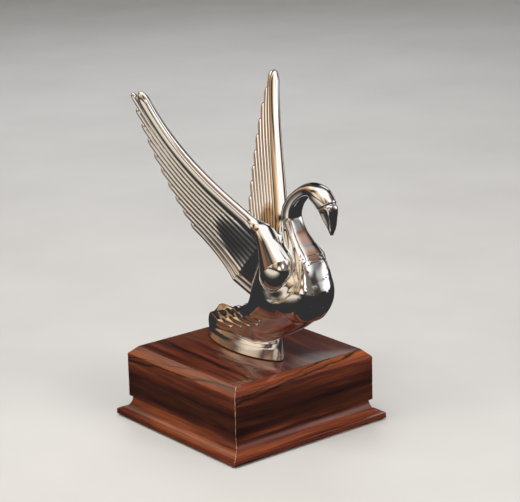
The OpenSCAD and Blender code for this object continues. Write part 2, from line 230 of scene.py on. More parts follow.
def neck_place(y, z):
    """Nearest place on the neck's middle line: its row values, offset to the back, and distance past an end."""
    shape = np.broadcast(y, z).shape
    points = np.stack([np.broadcast_to(y, shape).ravel(), np.broadcast_to(z, shape).ravel()], 1)
    line = NECK_ROWS[:, :2]
    heading = np.gradient(line, axis=0)
    step = np.linalg.norm(heading, axis=1, keepdims=True)
    heading = heading / step
    place = np.empty(len(points))
    for start in range(0, len(points), 8192):
        part = points[start : start + 8192]
        gap = (part[:, None, 0] - line[None, :, 0]) ** 2 + (part[:, None, 1] - line[None, :, 1]) ** 2
        place[start : start + 8192] = gap.argmin(1)
    k = place.astype(int)
    ahead = ((points - line[k]) * heading[k]).sum(1)
    last = len(line) - 1
    exact = np.clip(k + ahead / step[k, 0], 0, last)
    over = np.where((k == 0) & (ahead < 0), -ahead, np.where((k == last) & (ahead > 0), ahead, -1))
    index = np.arange(len(line))
    for _ in range(2):
        py, pz, ty, tz, ds = (np.interp(exact, index, c) for c in (*line.T, *heading.T, step[:, 0]))
        exact = np.clip(exact + ((points[:, 0] - py) * ty + (points[:, 1] - pz) * tz) / ds, 0, last)
    row = [np.interp(exact, index, NECK_ROWS[:, c]) for c in range(NECK_ROWS.shape[1])]
    ty, tz = (np.interp(exact, index, heading[:, c]) for c in (0, 1))
    back = (points[:, 0] - row[0]) * tz - (points[:, 1] - row[1]) * ty
    return [a.reshape(shape) for a in (exact / ROW_STEPS, *row[2:], back, over)]


def neck_distance(x, y, z):
    t, half_d, half_w, front_power, back_power, back, over = neck_place(y, z)
    groove = 1 - BILL_GROOVE * np.exp(-(((t - BILL_ROW) / BILL_GROOVE_LENGTH) ** 2))
    bill = ease(15.0, 15.5, t) * (1 - ease(17.3, 18, t))
    half_d = half_d * groove
    hollow = 1 - BILL_HOLLOW * bill * np.clip(1 - (back / half_d / 0.8) ** 2, 0, 1)
    power = np.where(back < 0, front_power, back_power)
    return past_end(outline_distance(x, back, half_w * groove * hollow, half_d, power), over)


def rod_distance(x, y, z, ends, radii):
    """Distance from a round-ended rod between two points, with a radius at each."""
    a, b = (np.array(e, float) for e in ends)
    d = b - a
    x, y, z = x - a[0], y - a[1], z - a[2]
    t = np.clip((x * d[0] + y * d[1] + z * d[2]) / d.dot(d), 0, 1)
    away = np.sqrt((x - t * d[0]) ** 2 + (y - t * d[1]) ** 2 + (z - t * d[2]) ** 2)
    return away - radii[0] - (radii[1] - radii[0]) * t


def crease_depth(y, z):
    """How far the skin is drawn in just behind the crease."""
    best, side, share = np.full(np.broadcast(y, z).shape, 1e9), 0, 0
    last = len(CREASE) - 1
    for i in range(last):
        a, b = CREASE[i], CREASE[i + 1]
        d = b - a
        t = np.clip(((y - a[0]) * d[0] + (z - a[1]) * d[1]) / d.dot(d), 0, 1)
        gap = np.hypot(y - a[0] - t * d[0], z - a[1] - t * d[1])
        turn = d[0] * (z - a[1]) - d[1] * (y - a[0])
        nearer = gap < best
        side = np.where(nearer, np.sign(turn), side)
        share = np.where(nearer, (i + t) / last, share)
        best = np.where(nearer, gap, best)
    behind = best * side
    fade = ease(0, 0.14, share) * (1 - ease(0.82, 1, share))
    return CREASE_DEPTH * fade * ease(-0.5, 0.9, behind) * (1 - ease(2.5, 8, behind))


def shoulder_form(x, y, z):
    """Egg-shaped shoulder, drawn out upwards along the wing's rolled edge."""
    low, high = np.array(SHOULDER_MIDDLE, float), np.array(SHOULDER_TOP, float)
    d = high - low
    t = np.clip(((x - low[0]) * d[0] + (y - low[1]) * d[1] + (z - low[2]) * d[2]) / d.dot(d), 0, 1)
    gap = [c - low[i] - t * d[i] for i, c in enumerate((x, y, z))]
    size = [a + (SHOULDER_TOP_RADIUS - a) * t for a in SHOULDER_RADII]
    rho = np.sqrt(sum((g / r) ** 2 for g, r in zip(gap, size))) + 1e-6
    return np.sqrt(sum(g * g for g in gap)) * (1 - 1 / rho)


def body_distance(x, y, z):
    d = blended(torso_distance(x, y, z), neck_distance(x, y, z), 5) + crease_depth(y, z)
    groove = blended(GROOVE_GAP - shoulder_form(np.abs(x), y, z), d + GROOVE_DEPTH, GROOVE_LIP)
    d = -blended(-d, -groove, GROOVE_LIP)
    d = blended(d, tail_distance(x, y, z), 4)
    side = np.abs(x)
    for height, front_y, front_x, rear_y, rear_x in TAIL_FEATHERS:
        front, rear = np.array([front_x, front_y, height]), np.array([rear_x, rear_y, height - TAIL_DROP])
        middle = (front + rear) / 2 + [TAIL_BULGE, 0, 0]
        feather = np.minimum(
            rod_distance(side, y, z, (front, middle), (TAIL_FEATHER_FRONT, TAIL_FEATHER_RADIUS)),
            rod_distance(side, y, z, (middle, rear), (TAIL_FEATHER_RADIUS, TAIL_FEATHER_RADIUS)),
        )
        d = blended(d, feather, 0.7)
    return blended(d, foot_distance(x, y, z), 1.6)


# ---------------------------------------------------------------- the wing, in its own coordinates


def lead(t):
    t = np.asarray(t, float)[..., None]
    p = LEAD
    curve = (1 - t) ** 3 * p[0] + 3 * (1 - t) ** 2 * t * p[1] + 3 * (1 - t) * t * t * p[2] + t**3 * p[3]
    return np.where(t < 0, p[0] + 3 * t * (p[1] - p[0]), curve)


def unit(v):
    return v / np.linalg.norm(v, axis=-1, keepdims=True)


def wing_axes(t):
    """Directions along the wing, across it and out of it at share t of its length."""
    along = unit(lead(t + 0.01) - lead(t - 0.01))
    share = np.clip(t, 0, None)[..., None]
    chord = CHORD_ROOT + (CHORD_TIP - CHORD_ROOT) * share
    across = unit(chord - (chord * along).sum(-1, keepdims=True) * along)
    return along, across, np.cross(across, along)


class Wing:
    """One wing: t is the share of its length, v the distance behind its leading edge, n the distance out."""

    def __init__(self, settings):
        self.count = settings.feather_count
        self.width = settings.feather_width / MM
        self.half_thick = settings.feather_thickness / MM / 2
        self.roll_root = settings.roll_root / MM
        self.roll_tip = settings.roll_tip / MM
        self.chord = self.roll_root + self.count * self.width

    def roll(self, t):
        return self.roll_root + (self.roll_tip - self.roll_root) * np.clip(t, 0, None)

    def point(self, t, v, n):
        _, across, out = wing_axes(t)
        bow = BOW_OUT * (v / self.chord) ** 2 * np.clip(1 - t / BOW_SPAN, 0, 1) ** 2
        return lead(t) + v[..., None] * across + (n + bow)[..., None] * out

    def distance(self, t, v, n):
        roll = self.roll(t)
        d = self.roll_distance(t, v, n, roll)
        nearest = np.clip(np.floor((v - roll) / self.width), 0, self.count - 1)
        feathers = None
        for shift in (0, -1, 1):
            k = np.clip(nearest + shift, 0, self.count - 1)
            one = self.feather_distance(t, v - roll - (k + 0.5) * self.width, n, k)
            feathers = one if feathers is None else blended(feathers, one, 0.2)
        d = blended(d, feathers, 0.4)
        d = blended(d, self.covert_distance(t, v, n), 3.2)
        return blended(d, self.shoulder_distance(t, v, n), 9)

    def feather_distance(self, t, across, n, k):
        end = FEATHER_END - FEATHER_STEP * k
        over = np.maximum(np.maximum(t - end, WING_START - t), 0) * LEAD_LENGTH
        rho = (
            (np.abs(across) / (FEATHER_OVERLAP * self.width)) ** SECTION_POWER
            + (np.abs(n) / self.half_thick) ** SECTION_POWER
            + (over / self.width) ** SECTION_POWER
        ) ** (1 / SECTION_POWER) + 1e-6
        reach = np.sqrt(across**2 + n**2 + over**2) + 1e-6
        return reach * (1 - 1 / rho)

    def roll_distance(self, t, v, n, roll):
        half = roll / 2
        over = np.maximum(np.maximum(t - ROLL_END, WING_START - t), 0) * LEAD_LENGTH
        rho = np.sqrt(((v - half) / half) ** 2 + (n / (ROLL_FLAT * half)) ** 2 + (over / ROLL_ROUND) ** 2) + 1e-6
        reach = np.sqrt((v - half) ** 2 + n**2 + over**2) + 1e-6
        return reach * (1 - 1 / rho)

    def covert_distance(self, t, v, n):
        along = (t - WING_START) * LEAD_LENGTH
        half_along, half_across, half_out = COVERT_HALF
        behind = v - COVERT_MIDDLE
        rho = np.sqrt((along / half_along) ** 2 + (behind / half_across) ** 2 + (n / half_out) ** 2) + 1e-6
        reach = np.sqrt(along**2 + behind**2 + n**2) + 1e-6
        return reach * (1 - 1 / rho)

    def shoulder_distance(self, t, v, n):
        return shoulder_form(*np.moveaxis(self.point(t, v, n), -1, 0))


# ---------------------------------------------------------------- from a distance field to a mesh


# Half the length over which a slope is measured, in millimetres
SLOPE_STEP = 0.02


def uncross(values):
    """Fills the weaker gap wherever four neighbouring samples change sign crosswise, so that the skin
    never touches itself."""
    corners = ((0, 0), (1, 0), (1, 1), (0, 1))
    for u, w in ((0, 1), (1, 2), (0, 2)) * 6:
        inside = []
        for du, dw in corners:
            at = [slice(None)] * 3
            at[u] = slice(du, values.shape[u] - 1 + du)
            at[w] = slice(dw, values.shape[w] - 1 + dw)
            inside.append(values[tuple(at)] < 0)
        a, b, c, d = inside
        for place in np.argwhere((a == c) & (b == d) & (a != b)):
            spots = []
            for du, dw in corners:
                spot = place.copy()
                spot[u] += du
                spot[w] += dw
                if values[tuple(spot)] >= 0:
                    spots.append(tuple(spot))
            weaker = min(spots, key=lambda s: values[s], default=None)
            if len(spots) == 2:
                values[weaker] = -max(values[weaker], 1e-4)
    return values


def surface_net(values, axes):
    """Points and four-sided faces where sampled distances change sign."""
    for axis in range(3):
        for end in (0, -1):
            border = [slice(None)] * 3
            border[axis] = end
            values[tuple(border)] = np.maximum(values[tuple(border)], 0.1)
    values = uncross(values)
    cells = tuple(s - 1 for s in values.shape)
    total, count = np.zeros((*cells, 3)), np.zeros(cells)
    crossings = []
    for axis in range(3):
        low = np.take(values, range(values.shape[axis] - 1), axis)
        high = np.take(values, range(1, values.shape[axis]), axis)
        at = np.argwhere((low < 0) != (high < 0))
        a, b = low[tuple(at.T)], high[tuple(at.T)]
        share = a / (a - b)
        point = np.stack([axes[c][at[:, c]] for c in range(3)], 1).astype(float)
        ends = axes[axis][at[:, axis]], axes[axis][at[:, axis] + 1]
        point[:, axis] = ends[0] + share * (ends[1] - ends[0])
        u, w = (axis + 1) % 3, (axis + 2) % 3
        ring = []
        for du, dw in ((0, 0), (-1, 0), (-1, -1), (0, -1)):
            cell = at.copy()
            cell[:, u] += du
            cell[:, w] += dw
            ring.append(cell)
            np.add.at(total, tuple(cell.T), point)
            np.add.at(count, tuple(cell.T), 1)
        crossings.append((ring, a < 0))
    number = np.full(cells, -1)
    used = count > 0
    number[used] = np.arange(used.sum())
    faces = []
    for ring, outward in crossings:
        quad = np.stack([number[tuple(c.T)] for c in ring], 1)
        quad[~outward] = quad[~outward][:, ::-1]
        faces.append(quad)
    return total[used] / count[used][:, None], np.concatenate(faces)


def slope(field, p, scale):
    """Distances at the points, and their gradient per millimetre."""
    shifts = np.diag(SLOPE_STEP / np.array(scale, float))
    gradient = [(field(*(p + s).T) - field(*(p - s).T)) / (2 * SLOPE_STEP) for s in shifts]
    return field(*p.T), np.stack(gradient, 1)


def settle(p, faces, field, scale, rounds, ease_by=0.5):
    """Evens the points out along the surface and draws them onto it."""
    edges = np.concatenate([faces[:, [i, (i + 1) % 4]] for i in range(4)])
    scale = np.asarray(scale, float)
    for _ in range(rounds):
        here, g = slope(field, p, scale)
        size = (g * g).sum(1) + 1e-9
        total, count = np.zeros_like(p), np.zeros(len(p))
        np.add.at(total, edges[:, 0], p[edges[:, 1]])
        np.add.at(count, edges[:, 0], 1)
        drift = (total / count[:, None] - p) * scale * ease_by
        drift -= g * ((drift * g).sum(1) / size)[:, None]
        move = drift - g * np.clip(here / size, -0.6, 0.6)[:, None]
        p = p + move / scale
    for _ in range(3):
        here, g = slope(field, p, scale)
        p = p - g * np.clip(here / ((g * g).sum(1) + 1e-9), -0.4, 0.4)[:, None] / scale
    return p, slope(field, p, scale)[1]


def ring_faces(rings, count):
    """Four-sided faces between closed rings of points that follow each other."""
    steps = [(k * count, i, (i + 1) % count) for k in range(rings - 1) for i in range(count)]
    return [[k + i, k + j, k + count + j, k + count + i] for k, i, j in steps]


def new_piece(name, points, faces, node, slot, material, normals=None, uvs=None, flat_below=None):
    """A mesh object in metres that rides on the body and stands for its frame node. Its normals are given,
    or it is shaded flat across edges sharper than flat_below degrees."""
    mesh = bpy.data.meshes.new(name)
    mesh.from_pydata(np.asarray(points, np.float32).tolist(), [], [list(map(int, f)) for f in faces])
    mesh.polygons.foreach_set("use_smooth", [flat_below != 0] * len(mesh.polygons))
    mesh.materials.append(material)
    if uvs is not None:
        layer = mesh.uv_layers.new(name=GRAIN)
        layer.data.foreach_set("uv", np.asarray(uvs, np.float32).ravel())
    mesh.validate()
    mesh.update()
    if normals is not None:
        mesh.normals_split_custom_set_from_vertices(unit(normals @ TURN.T).tolist())
    piece = bpy.data.objects.new(name, mesh)
    bpy.context.scene.collection.objects.link(piece)
    if flat_below:
        chosen = {"object": piece, "active_object": piece, "selected_objects": [piece]}
        with bpy.context.temp_override(selected_editable_objects=[piece], **chosen):
            bpy.ops.object.shade_smooth_by_angle(angle=math.radians(flat_below))
    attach(piece, "root")
    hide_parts(node)
    return piece


def on_plinth(p, base):
    """Points of the swan's own millimetre coordinates, set on the plinth at that height, in metres."""
    return p @ TURN.T * MM + [0, 0, base]


def boat_outline(length, width, middle, count):
    q = np.linspace(0, 2 * math.pi, count, endpoint=False)
    x = width / 2 * np.sign(np.cos(q)) * np.abs(np.cos(q)) ** BOAT_POWER
    return np.stack([x, length / 2 * np.sin(q) + middle], 1)


# ---------------------------------------------------------------- materials


def feed(tree, node, inputs):
    """Gives a node's inputs their values, or links them from a node's first output or from a socket."""
    for key, value in inputs.items():
        if isinstance(value, bpy.types.Node):
            value = value.outputs[0]
        if isinstance(value, bpy.types.NodeSocket):
            tree.links.new(value, node.inputs[key])
        else:
            node.inputs[key].default_value = value


def add_node(tree, kind, inputs=None, stops=(), **settings):
    """Adds a shader node with its settings, its input values or links, and a colour ramp's stops."""
    node = tree.nodes.new("ShaderNode" + kind)
    for key, value in settings.items():
        setattr(node, key, value)
    feed(tree, node, inputs or {})
    for place, _ in stops[2:]:
        node.color_ramp.elements.new(place)
    for element, (place, colour) in zip(node.color_ramp.elements if stops else (), stops):
        element.position, element.color = place, colour
    return node


def start_material(name, kind="BsdfPrincipled", **constants):
    """A material with its surface shader, whose constant values are set on the shader's own sockets."""
    material = bpy.data.materials.new(name)
    material.use_nodes = True
    tree = material.node_tree
    tree.nodes.clear()
    shader = add_node(tree, kind, constants)
    add_node(tree, "OutputMaterial", {"Surface": shader})
    return material, tree, shader


def grey(v):
    return (v, v, v, 1)


def chrome_plate():
    """Die-cast zinc, copper-nickel-chromium plated and buffed: a mirror with a slow waviness from the casting,
    faint polishing haze, hairline scratches, and brownish darkening in the grooves that is partly dirt and partly
    painted shade."""
    material, tree, shader = start_material("chromium_plate_buffed", Metallic=1.0)
    place = add_node(tree, "TexCoord").outputs["Object"]
    # The casting's waves are about 12 mm long, the polishing haze comes in patches of 14 mm
    wave = add_node(tree, "TexNoise", {"Vector": place, "Scale": 1 / 0.012, "Detail": 0.0})
    haze = add_node(tree, "TexNoise", {"Vector": place, "Scale": 1 / 0.014, "Detail": 5.0, "Roughness": 0.65})
    stretched = add_node(tree, "Mapping", {"Vector": place, "Scale": (1, 0.12, 0.35), "Rotation": (0.4, 0.2, 0.9)})
    # Buffing scratches are drawn 0.5 mm apart, coarser than real ones, so that they show
    scratch = add_node(tree, "TexNoise", {"Vector": stretched, "Scale": 1 / 0.0005, "Detail": 2.0})
    spread = {"Value": haze, "From Min": 0.3, "From Max": 0.75, "To Min": 0.05, "To Max": 0.14}
    rough = add_node(tree, "MapRange", spread)
    # The grooves are darkened brown by their pointiness: partly dirt, partly painted shade where the creases lie
    # in shadow
    hollow = add_node(tree, "NewGeometry").outputs["Pointiness"]
    dirt_and_crease_shade = add_node(tree, "ValToRGB", {"Fac": hollow}, stops=[(0.42, grey(1)), (0.485, grey(0))])
    patch = add_node(tree, "Math", {0: dirt_and_crease_shade, 1: haze}, operation="MULTIPLY")
    tones = {"Factor": patch, 6: linear("#EEECEA"), 7: linear("#3A2E22")}
    colour = add_node(tree, "Mix", tones, data_type="RGBA")
    waves = add_node(tree, "Bump", {"Height": wave, "Strength": 1.0, "Distance": 0.12 * MM})
    scratches = {"Height": scratch, "Strength": 0.12, "Distance": 0.006 * MM, "Normal": waves}
    marks = add_node(tree, "Bump", scratches)
    feed(tree, shader, {"Base Color": colour.outputs[2], "Roughness": rough, "Normal": marks})
    return material


def rosewood_foil(name, seed, heights, streaks, worn_width=0.0):
    """Printed rosewood foil under clear gloss lacquer: fine straight grain in bands of red-brown and maroon, thin
    ink-dark streaks that wander across it, a wet shine, and pale broken lines where the foil is worn through at
    the mitres. heights are the tones of painted shade and light up the side; streaks are the streaks' starts,
    slopes and widths in metres."""
    lacquer = {"Coat Weight": 0.8, "Coat Roughness": 0.05, "Coat IOR": 1.5}
    print_ink = {"Specular IOR Level": 0.3, "Roughness": 0.4}
    material, tree, shader = start_material(name, **lacquer, **print_ink)
    grain = add_node(tree, "UVMap", uv_map=GRAIN)
    spot = add_node(tree, "TexCoord").outputs["Object"]
    # u runs with the grain and v across it, both in metres
    moved = add_node(tree, "Mapping", {"Vector": grain, "Location": (seed, seed * 0.37, seed * 0.61)})
    slow = add_node(tree, "Mapping", {"Vector": moved, "Scale": (0.3, 1, 1)})
    drift = add_node(tree, "TexNoise", {"Vector": slow, "Scale": 1 / 0.018, "Detail": 2.0, "Roughness": 0.5})
    sway = add_node(tree, "Math", {0: drift, 1: -0.5, 2: 0.0}, operation="ADD")
    bend = add_node(tree, "VectorMath", {0: (0, 1, 0), "Scale": sway}, operation="SCALE")
    gentle = add_node(tree, "VectorMath", {0: bend, "Scale": 0.007}, operation="SCALE")
    bent = add_node(tree, "VectorMath", {0: moved, 1: gentle}, operation="ADD")
    # Pores and fibres, 0.45 mm apart and 14 mm long
    thread = add_node(tree, "Mapping", {"Vector": bent, "Scale": (0.032, 1, 1)})
    fibre = add_node(tree, "TexNoise", {"Vector": thread, "Scale": 1 / 0.0009, "Detail": 3.0, "Roughness": 0.65})
    # Bands of colour, 5 mm apart, that run nearly the whole length
    ribbon = add_node(tree, "Mapping", {"Vector": bent, "Scale": (0.06, 1, 1)})
    band = add_node(tree, "TexNoise", {"Vector": ribbon, "Scale": 1 / 0.006, "Detail": 3.0, "Roughness": 0.55})
    tones = ((0.3, "#4A1A0F"), (0.46, "#70301B"), (0.56, "#8A4122"), (0.72, "#A65A2C"))
    tone = add_node(tree, "ValToRGB", {"Fac": band}, stops=[(at, linear(code)) for at, code in tones])
    fine = add_node(tree, "ValToRGB", {"Fac": fibre}, stops=[(0.36, grey(0.5)), (0.6, grey(1))])
    over = {"data_type": "RGBA"}
    darken = {"data_type": "RGBA", "blend_type": "MULTIPLY"}
    grained = add_node(tree, "Mix", {"Factor": 1.0, 6: tone, 7: fine}, **darken).outputs[2]
    # Painted shade and light by height: each side is darker across its lower face and lighter up to the bevel,
    # standing for the dark cloth it reflects and the light from above; the border is as wavy as the grain
    height = add_node(tree, "SeparateXYZ", {0: spot})
    wavy = add_node(tree, "Math", {0: sway, 1: 0.014, 2: height.outputs[2]}, operation="MULTIPLY_ADD")
    level = add_node(tree, "MapRange", {"Value": wavy, "From Min": 0.0, "From Max": 0.05})
    height_shade = add_node(tree, "ValToRGB", {"Fac": level}, stops=[(at, grey(v)) for at, v in heights])
    colour = add_node(tree, "Mix", {"Factor": 1.0, 6: grained, 7: height_shade}, **darken).outputs[2]
    across = add_node(tree, "SeparateXYZ", {0: grain})
    wander = add_node(tree, "TexNoise", {"Vector": slow, "Scale": 1 / 0.007, "Detail": 4.0, "Roughness": 0.6})
    for start, lean, width in streaks:
        line = add_node(tree, "Math", {0: across, 1: lean, 2: start}, operation="MULTIPLY_ADD")
        off = add_node(tree, "Math", {0: across.outputs[1], 1: line}, operation="SUBTRACT")
        wavering = add_node(tree, "Math", {0: wander, 1: 0.006, 2: off}, operation="MULTIPLY_ADD")
        centred = add_node(tree, "Math", {0: wavering, 1: -0.003}, operation="ADD")
        gap = add_node(tree, "Math", {0: centred}, operation="ABSOLUTE")
        thick = add_node(tree, "Math", {0: fibre, 1: width * 2.2}, operation="MULTIPLY")
        edge = {"Value": gap, "From Min": 0.0, "From Max": thick, "To Min": 0.95, "To Max": 0.0}
        ink = add_node(tree, "MapRange", edge, interpolation_type="SMOOTHSTEP")
        colour = add_node(tree, "Mix", {"Factor": ink, 6: colour, 7: linear("#150806")}, **over).outputs[2]
    if worn_width:
        # Worn mitre: where x and y are equally far from the middle, its width broken by noise
        ax = add_node(tree, "Math", {0: height}, operation="ABSOLUTE")
        ay = add_node(tree, "Math", {0: height.outputs[1]}, operation="ABSOLUTE")
        apart = add_node(tree, "Math", {0: ax, 1: ay}, operation="SUBTRACT")
        off = add_node(tree, "Math", {0: apart}, operation="ABSOLUTE")
        chips = add_node(tree, "TexNoise", {"Vector": spot, "Scale": 1 / 0.002, "Detail": 4.0, "Roughness": 0.75})
        breaks = {"Value": chips, "From Min": 0.4, "From Max": 0.62, "To Max": worn_width}
        ragged = add_node(tree, "MapRange", breaks)
        worn = add_node(tree, "Math", {0: off, 1: ragged}, operation="LESS_THAN")
        colour = add_node(tree, "Mix", {"Factor": worn, 6: colour, 7: linear("#C9A98C")}, **over).outputs[2]
    # Single chips, 0.4 mm across
    nick = add_node(tree, "TexNoise", {"Vector": spot, "Scale": 1 / 0.0035, "Detail": 6.0, "Roughness": 0.8})
    fleck = add_node(tree, "Math", {0: nick, 1: 0.765}, operation="GREATER_THAN")
    colour = add_node(tree, "Mix", {"Factor": fleck, 6: colour, 7: linear("#C09A78")}, **over).outputs[2]
    bump = add_node(tree, "Bump", {"Height": fibre, "Strength": 0.15, "Distance": 0.01 * MM})
    feed(tree, shader, {"Base Color": colour, "Normal": bump})
    return material


def mottled(name, size, tones, bump, noise, stretch=(1, 1, 1), seed=0.0, **constants):
    """A plain finish: two tones mixed by noise of that size in metres, and a bump of the same noise."""
    material, tree, shader = start_material(name, **constants)
    place = add_node(tree, "TexCoord").outputs["Object"]
    shifted = add_node(tree, "Mapping", {"Vector": place, "Scale": stretch, "Location": (seed, 0, seed)})
    lines = add_node(tree, "TexNoise", {"Vector": shifted, "Scale": 1 / size, **noise})
    tone = add_node(tree, "ValToRGB", {"Fac": lines}, stops=[(at, linear(code)) for at, code in tones])
    strength, depth = bump
    relief = add_node(tree, "Bump", {"Height": lines, "Strength": strength, "Distance": depth * MM})
    feed(tree, shader, {"Base Color": tone, "Normal": relief})
    return material


def sawn_wood(name, size, dark, light, seed):
    """Sawn and sanded wood or board: matt, with growth lines or fibres that run along y."""
    tones = ((0.32, dark), (0.68, light))
    noise = {"Detail": 5.0, "Distortion": 0.4}
    return mottled(name, size, tones, (0.4, 0.1), noise, (1, 0.12, 1), seed, Roughness=0.75)


def black_rubber():
    """Moulded rubber: dull black with a fine bloom."""
    tones = ((0.4, "#101010"), (0.75, "#2A2927"))
    return mottled("rubber_moulded", 0.002, tones, (0.4, 0.03), {"Detail": 4.0}, Roughness=0.7)


def wool_felt():
    """Pressed wool felt: no shine, a matted nap with clumps of fibre 0.6 mm apart."""
    tones = ((0.35, "#16241A"), (0.7, "#31503A"))
    nap = {"Detail": 5.0, "Roughness": 0.7}
    sheen = {"Roughness": 0.95, "Sheen Weight": 0.35, "Sheen Roughness": 0.5}
    return mottled("felt_pressed_wool", 0.0006, tones, (0.8, 0.2), nap, **sheen)


def zinc_steel():
    """Turned steel with bright zinc: a soft grey shine with fine tool marks and dull patches."""
    material, tree, shader = start_material("steel_zinc_plated", Metallic=1.0)
    place = add_node(tree, "TexCoord").outputs["Object"]
    turned = add_node(tree, "Mapping", {"Vector": place, "Scale": (0.2, 0.2, 1)})
    marks = add_node(tree, "TexNoise", {"Vector": turned, "Scale": 1 / 0.0004, "Detail": 2.0})
    patch = add_node(tree, "TexNoise", {"Vector": place, "Scale": 1 / 0.004, "Detail": 4.0})
    tone = add_node(tree, "ValToRGB", {"Fac": patch}, stops=[(0.35, linear("#8E9296")), (0.65, linear("#B9BCBD"))])
    spread = {"Value": patch, "From Min": 0.3, "From Max": 0.7, "To Min": 0.25, "To Max": 0.45}
    rough = add_node(tree, "MapRange", spread)
    bump = add_node(tree, "Bump", {"Height": marks, "Strength": 0.3, "Distance": 0.01 * MM})
    feed(tree, shader, {"Base Color": tone, "Roughness": rough, "Normal": bump})
    return material


# ---------------------------------------------------------------- operators

# Box round the body that is sampled, in x, y and z, and how far the foot's form runs on below its underside
BODY_SPANS = ((-19, 19.6), (-84.3, 41.6), (-2.2, 112.5))
UNDER_FOOT = 1.9
# Faces that lie wholly deeper than this are dropped, and points lower than this are pressed flat
CUT_BELOW, PRESSED_BELOW = 0.35, 0.3


class ORNAMENT_OT_swan_body(bpy.types.Operator):
    """Casting of the breast, neck, head, tail and foot in one smooth skin"""

    bl_idname = "ornament.swan_body"
    bl_label = "Swan body"

    def execute(self, context):
        pitch = context.scene.swan.body_pitch / MM
        axes = [np.arange(low, high, pitch) for low, high in BODY_SPANS]
        x, y, z = np.meshgrid(*axes, indexing="ij", sparse=True)
        values = np.maximum(body_distance(x, y, z), -UNDER_FOOT - z)
        p, faces = surface_net(values, axes)
        p, normals = settle(p, faces, body_distance, (1, 1, 1), 4)
        p, faces, normals = cut_flat(p, faces, normals)
        p = on_plinth(p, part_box("swan_body")[0].z)
        new_piece("swan_body_casting", p, faces, "swan_body", "chrome_plate", chrome_plate(), normals)
        return {"FINISHED"}


def cut_flat(p, faces, normals):
    """Drops what is under the foot and presses the last ring of points flat onto z = 0."""
    faces = faces[(p[faces][:, :, 2] > -CUT_BELOW).any(1)]
    p, low = p.copy(), p[:, 2] < PRESSED_BELOW
    p[low, 2] = 0
    edges = set(map(tuple, np.concatenate([faces[:, [i, (i + 1) % 4]] for i in range(4)])))
    after = dict((a, b) for a, b in edges if (b, a) not in edges)
    loop = [min(after)]
    while after[loop[-1]] != loop[0]:
        loop.append(after[loop[-1]])
    used = np.unique(faces)
    number = np.full(len(p), -1)
    number[used] = np.arange(len(used))
    return p[used], [*number[faces].tolist(), number[loop[::-1]].tolist()], normals[used]


class ORNAMENT_OT_wings(bpy.types.Operator):
    """Both wings, each with its rolled edge, stepped feathers, smooth coverts and shoulder"""

    bl_idname = "ornament.wings"
    bl_label = "Wings"

    def execute(self, context):
        wing = Wing(context.scene.swan)
        pitch = context.scene.swan.wing_pitch / MM
        # Coarse samples round the shoulder, fine ones across the feathers
        t = np.concatenate([np.arange(-0.36, 0, 0.8 / LEAD_LENGTH), np.arange(0, 1.05, 1 / LEAD_LENGTH)])
        v = np.concatenate([np.arange(-13, 0, 0.7), np.arange(0, wing.chord + 4.5, pitch)])
        n = np.concatenate([np.arange(-8, -3, 0.7), np.arange(-3, 3, pitch), np.arange(3, 27, 0.7)])
        p, faces = surface_net(wing.distance(*np.meshgrid(t, v, n, indexing="ij")), (t, v, n))
        scale = (LEAD_LENGTH, 1, 1)
        p, gradient = settle(p, faces, wing.distance, scale, 2, 0.3)
        steps = np.diag(SLOPE_STEP / np.array(scale, float))
        spread = np.stack([wing.point(*(p + s).T) - wing.point(*(p - s).T) for s in steps], 2) / (2 * SLOPE_STEP)
        normals = np.linalg.solve(np.swapaxes(spread, 1, 2), gradient[..., None])[..., 0]
        left_handed = np.linalg.det(spread[len(spread) // 2]) < 0
        points = wing.point(*p.T)
        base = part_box("swan_body")[0].z
        material = bpy.data.materials.get("chromium_plate_buffed") or chrome_plate()
        for name, side in (("left_wing", 1), ("right_wing", -1)):
            mirror = np.array([side, 1, 1])
            order = faces[:, ::-1] if (side < 0) != left_handed else faces
            p = on_plinth(points * mirror, base)
            new_piece(name + "_casting", p, order, name, "chrome_plate", material, normals * mirror)
        return {"FINISHED"}


# Straight steps round each of the foil's folds, and the angle in degrees above which an edge stays sharp
FOLD_STEPS, FOLD_ANGLE = 3, 35
# Painted shade and light up a side, as shares of 50 mm: pale lip and cove, a dark band of painted shade across the
# lower face, a lighter, redder face, and the bevel painted brightest as if lit from above
SIDE_SHADE_BY_HEIGHT = (
    (0.0, 0.6), (0.08, 0.95), (0.2, 1), (0.26, 0.5), (0.34, 0.2),
    (0.5, 0.26), (0.68, 0.62), (0.76, 0.72), (0.79, 1),
)  # fmt: skip
TOP_TONES = ((0.0, 0.62), (1.0, 0.62))
TOP_STREAKS = ((-0.02, 0.06, 0.003), (0.012, 0.05, 0.0022), (-0.034, 0.04, 0.0016))


def rounded(points, radius):
    """A closed outline with every corner rounded off."""
    result = []
    for i, corner in enumerate(points):
        before, after = points[i - 1], points[(i + 1) % len(points)]
        a, b = before - corner, after - corner
        reach = min(radius, np.linalg.norm(a) * 0.45, np.linalg.norm(b) * 0.45)
        a, b = corner + a / np.linalg.norm(a) * reach, corner + b / np.linalg.norm(b) * reach
        for s in np.linspace(0, 1, FOLD_STEPS + 1):
            result.append((1 - s) ** 2 * a + 2 * s * (1 - s) * corner + s * s * b)
    return np.array(result)


